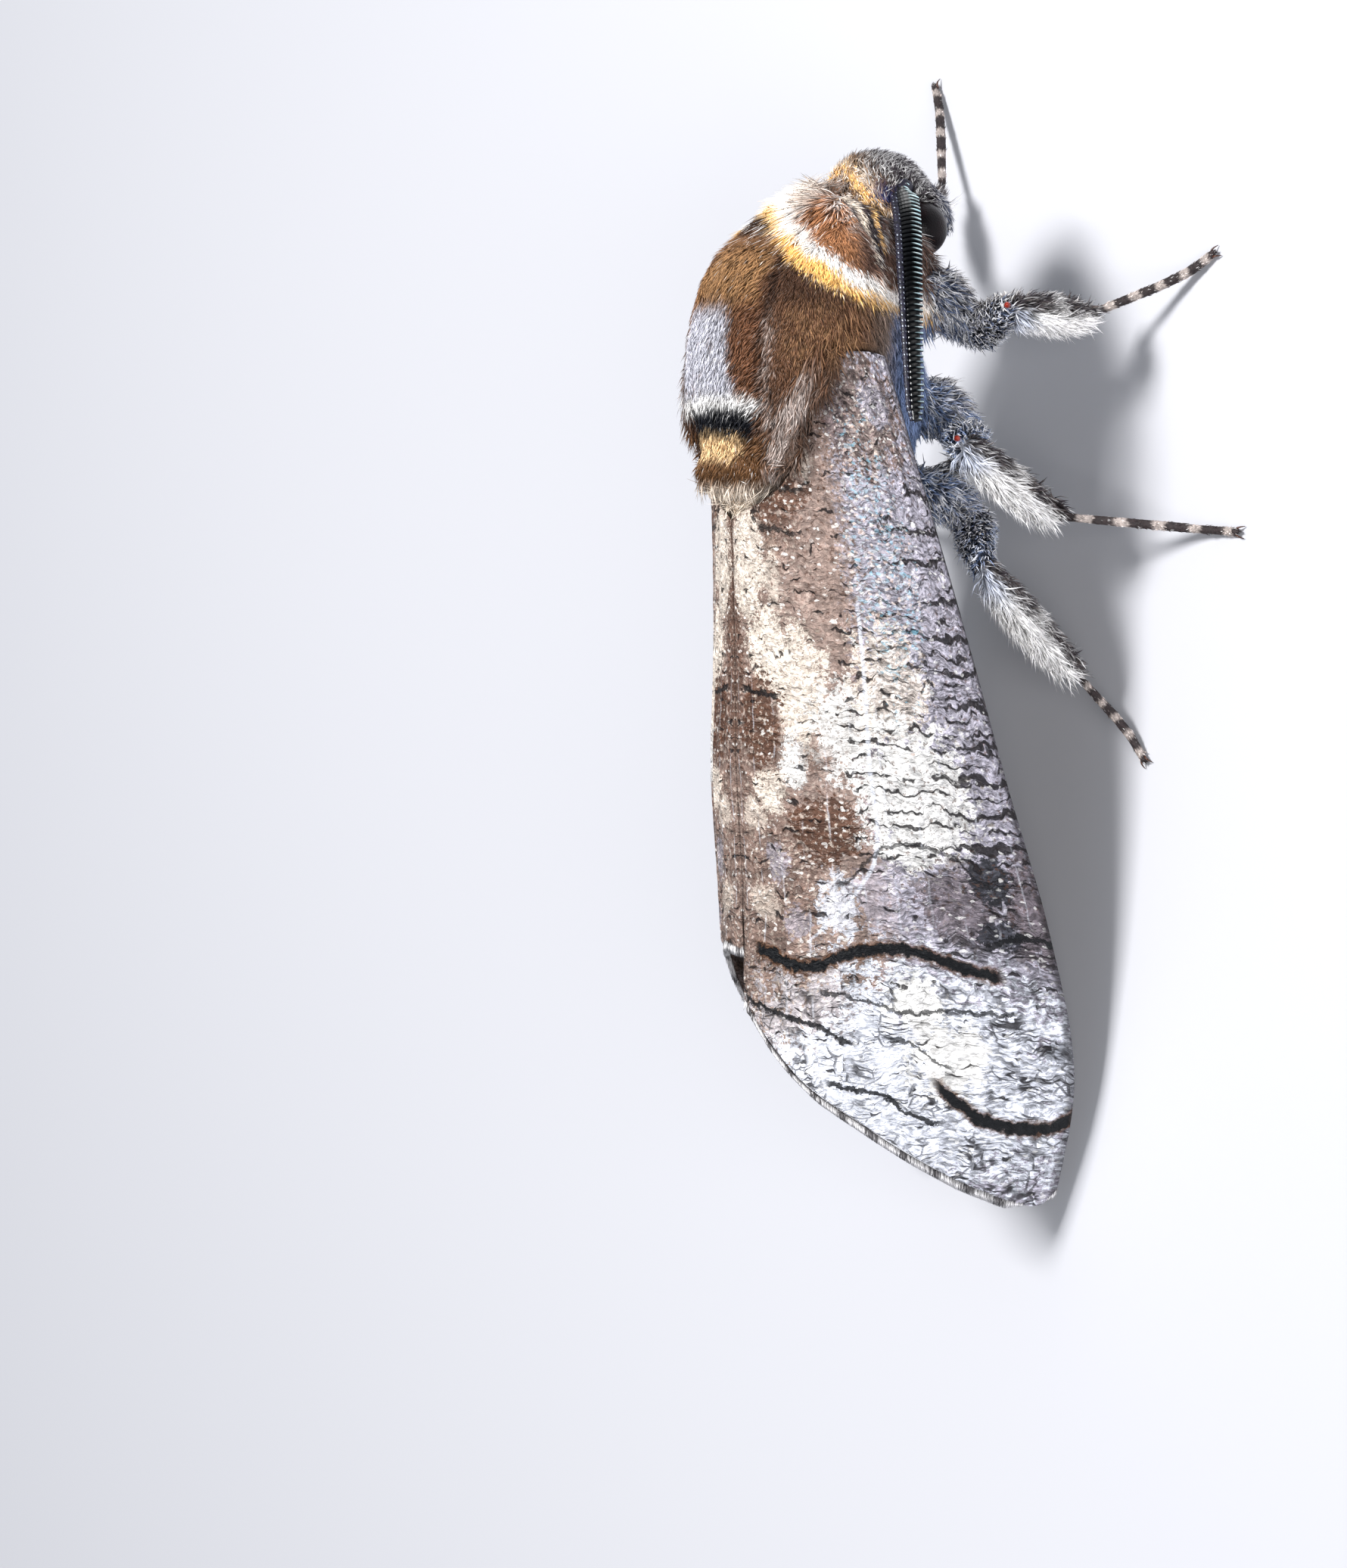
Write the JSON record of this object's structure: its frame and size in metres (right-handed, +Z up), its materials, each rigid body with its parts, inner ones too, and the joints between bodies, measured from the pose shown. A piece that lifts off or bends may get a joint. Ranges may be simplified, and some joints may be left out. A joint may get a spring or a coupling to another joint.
{
  "type": "goat moth",
  "caption": "Life-size still model of a goat moth standing at rest, wings folded like a roof over its body.",
  "frame": {"origin": "floor level under the centre of the moth's bounding box", "axes": "+X towards the head, +Y to the moth's left, +Z up"},
  "size_m": [0.0492, 0.0258, 0.0188],
  "materials": {
    "head": "dense upright hair",
    "collar": "long soft fur in a ruff",
    "thorax": "dense upright hair",
    "tegula": "smooth lying hair",
    "crest": "short glossy hair",
    "abdomen": "close soft hair",
    "forewing": "overlapping flat scales with fine dark lines",
    "hindwing": "overlapping flat scales",
    "antenna": "dark comb with a scaled shaft",
    "palp": "close hair",
    "coxa": "long soft hair",
    "femur": "long soft hair",
    "tibia": "fringes of long hair",
    "tarsus": "close scales in pale and dark bands",
    "eye": "glossy compound eye"
  },
  "bodies": {
    "root": {"head": "head", "collar": "collar", "thorax": "thorax", "crest": "crest", "abdomen": "abdomen", "eye_l": "eye", "antenna_l": "antenna", "palp_l": "palp", "tegula_l": "tegula", "forewing_l": "forewing", "hindwing_l": "hindwing", "eye_r": "eye", "antenna_r": "antenna", "palp_r": "palp", "tegula_r": "tegula", "forewing_r": "forewing", "hindwing_r": "hindwing", "foreleg_l_coxa": "coxa", "foreleg_l_femur": "femur", "foreleg_l_tibia": "tibia", "foreleg_l_tarsus": "tarsus", "foreleg_r_coxa": "coxa", "foreleg_r_femur": "femur", "foreleg_r_tibia": "tibia", "foreleg_r_tarsus": "tarsus", "midleg_l_coxa": "coxa", "midleg_l_femur": "femur", "midleg_l_tibia": "tibia", "midleg_l_tarsus": "tarsus", "midleg_r_coxa": "coxa", "midleg_r_femur": "femur", "midleg_r_tibia": "tibia", "midleg_r_tarsus": "tarsus", "hindleg_l_coxa": "coxa", "hindleg_l_femur": "femur", "hindleg_l_tibia": "tibia", "hindleg_l_tarsus": "tarsus", "hindleg_r_coxa": "coxa", "hindleg_r_femur": "femur", "hindleg_r_tibia": "tibia", "hindleg_r_tarsus": "tarsus"}
  },
  "joints": []
}
